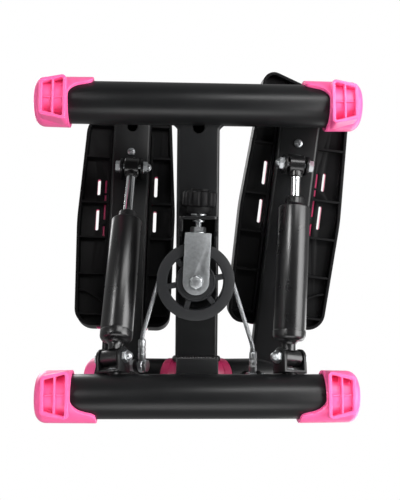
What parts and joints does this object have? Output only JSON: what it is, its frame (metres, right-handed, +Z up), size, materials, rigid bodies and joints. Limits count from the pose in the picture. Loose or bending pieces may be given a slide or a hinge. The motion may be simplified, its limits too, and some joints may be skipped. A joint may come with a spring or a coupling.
{
  "type": "twist mini stepper",
  "caption": "Compact twist stepper: two pedals on swinging arms with hydraulic cylinders, linked by a wire rope over a knob-adjusted pulley under a steel base.",
  "frame": {"origin": "middle of the outline, on the floor", "axes": "+Z up, -Y towards the toes of the pedals, +X to the user's left"},
  "size_m": [0.384, 0.4318, 0.217],
  "materials": {
    "black_steel": "satin powder coat",
    "black_plastic": "moulded, fine grain",
    "pink_plastic": "satin moulded",
    "pink_mat": "moulded, ribbed, matt",
    "chrome_rod": "hard chrome, polished",
    "zinc_steel": "bright zinc plate",
    "black_rubber": "matt",
    "bronze_bush": "sintered",
    "wire_rope": "galvanised strands"
  },
  "bodies": {
    "frame": {"front_base_tube": "black_steel", "rear_base_tube": "black_steel", "spine_beam": "black_steel", "hub_block": "black_steel", "left_stub_axle": "zinc_steel", "right_stub_axle": "zinc_steel", "axle_retainers": "zinc_steel", "front_left_end_cap": "pink_plastic", "front_right_end_cap": "pink_plastic", "rear_left_end_cap": "pink_plastic", "rear_right_end_cap": "pink_plastic", "knob_bracket": "black_steel", "left_cylinder_bracket": "black_steel", "right_cylinder_bracket": "black_steel", "bracket_bolts": "zinc_steel", "lower_pins": "zinc_steel", "steel_cable": "wire_rope"},
    "right_arm": {"right_arm_tube": "black_steel", "right_arm_plug": "black_plastic", "right_arm_hub": "black_steel", "right_hub_bushes": "pink_plastic", "right_hub_cap": "pink_plastic", "right_upper_bracket": "black_steel", "right_upper_pin": "zinc_steel", "right_cable_lug": "black_steel", "right_cable_bolt": "zinc_steel", "right_pedal": "black_plastic", "right_pedal_mat": "pink_mat", "right_pedal_screws": "zinc_steel"},
    "left_arm": {"left_arm_tube": "black_steel", "left_arm_plug": "black_plastic", "left_arm_hub": "black_steel", "left_hub_bushes": "pink_plastic", "left_hub_cap": "pink_plastic", "left_upper_bracket": "black_steel", "left_upper_pin": "zinc_steel", "left_cable_lug": "black_steel", "left_cable_bolt": "zinc_steel", "left_pedal": "black_plastic", "left_pedal_mat": "pink_mat", "left_pedal_screws": "zinc_steel"},
    "right_cylinder": {"right_cylinder_tube": "black_steel", "right_cylinder_gland": "black_steel"},
    "right_rod": {"right_piston_rod": "chrome_rod", "right_piston": "zinc_steel", "right_rod_eye": "black_steel", "right_rod_bush": "black_rubber"},
    "left_cylinder": {"left_cylinder_tube": "black_steel", "left_cylinder_gland": "black_steel"},
    "left_rod": {"left_piston_rod": "chrome_rod", "left_piston": "zinc_steel", "left_rod_eye": "black_steel", "left_rod_bush": "black_rubber"},
    "pulley_fork": {"pulley_fork": "zinc_steel", "fork_nut": "zinc_steel", "pulley_axle": "zinc_steel"},
    "pulley": {"pulley_wheel": "black_plastic", "pulley_bush": "bronze_bush"},
    "knob": {"adjust_knob": "black_plastic", "adjust_bolt": "zinc_steel"}
  },
  "joints": [
    {"name": "right_arm_swing", "type": "hinge", "parent": "frame", "child": "right_arm", "pos_m": [0, 0.16938, 0.0866], "axis": [-0.8957, 0, 0.4446], "range_deg": [-18.6, 0.6], "deforming": ["steel_cable", "right_rod_bush", "left_rod_bush"]},
    {"name": "right_cylinder_swing", "type": "hinge", "parent": "frame", "child": "right_cylinder", "pos_m": [-0.0955, 0.14338, 0.04], "axis": [-0.8809, 0.1242, 0.4567], "range_deg": [-19.3, 0.9], "deforming": ["right_rod_bush"]},
    {"name": "right_rod_slide", "type": "slide", "parent": "right_cylinder", "child": "right_rod", "axis": [0.0511, -0.9332, 0.3558], "range_m": [-0.0286, 0.0012], "deforming": ["right_rod_bush"]},
    {"name": "left_arm_swing", "type": "hinge", "parent": "frame", "child": "left_arm", "pos_m": [0, 0.16938, 0.0866], "axis": [-0.8957, 0, -0.4446], "range_deg": [-0.6, 18.6], "deforming": ["steel_cable", "right_rod_bush", "left_rod_bush"]},
    {"name": "left_cylinder_swing", "type": "hinge", "parent": "frame", "child": "left_cylinder", "pos_m": [0.1043, 0.14338, 0.04], "axis": [-0.8862, -0.0913, -0.4542], "range_deg": [-0.9, 19.6], "deforming": ["left_rod_bush"]},
    {"name": "left_rod_slide", "type": "slide", "parent": "left_cylinder", "child": "left_rod", "axis": [0.0644, -0.9949, 0.0774], "range_m": [-0.0012, 0.0296], "deforming": ["left_rod_bush"]},
    {"name": "knob_turn", "type": "hinge", "parent": "frame", "child": "knob", "pos_m": [-0.00309, 0.05552, 0.03974], "axis": [-0.0419, 0.9868, 0.1563], "range_deg": [-1450, 1450], "deforming": ["steel_cable"]},
    {"name": "fork_slide", "type": "slide", "parent": "frame", "child": "pulley_fork", "axis": [-0.0419, 0.9868, 0.1563], "range_m": [-0.005, 0.005], "deforming": ["steel_cable"]},
    {"name": "pulley_spin", "type": "hinge", "parent": "pulley_fork", "child": "pulley", "pos_m": [-0.00309, 0.05552, 0.03974], "axis": [0, -0.1564, 0.9877], "range_deg": [-19.3, 0.9], "deforming": ["steel_cable"]}
  ],
  "couplings": [
    {"joint": "left_arm_swing", "follows": "right_arm_swing", "ratio": -1},
    {"joint": "right_cylinder_swing", "follows": "right_arm_swing", "ratio": 1.024},
    {"joint": "right_rod_slide", "follows": "right_arm_swing", "m_per_rad": 0.0872},
    {"joint": "left_cylinder_swing", "follows": "right_arm_swing", "ratio": -1.036},
    {"joint": "left_rod_slide", "follows": "right_arm_swing", "m_per_rad": -0.0902},
    {"joint": "pulley_spin", "follows": "right_arm_swing", "ratio": 1.023},
    {"joint": "knob_turn", "follows": "fork_slide", "rad_per_m": -5026.6}
  ]
}
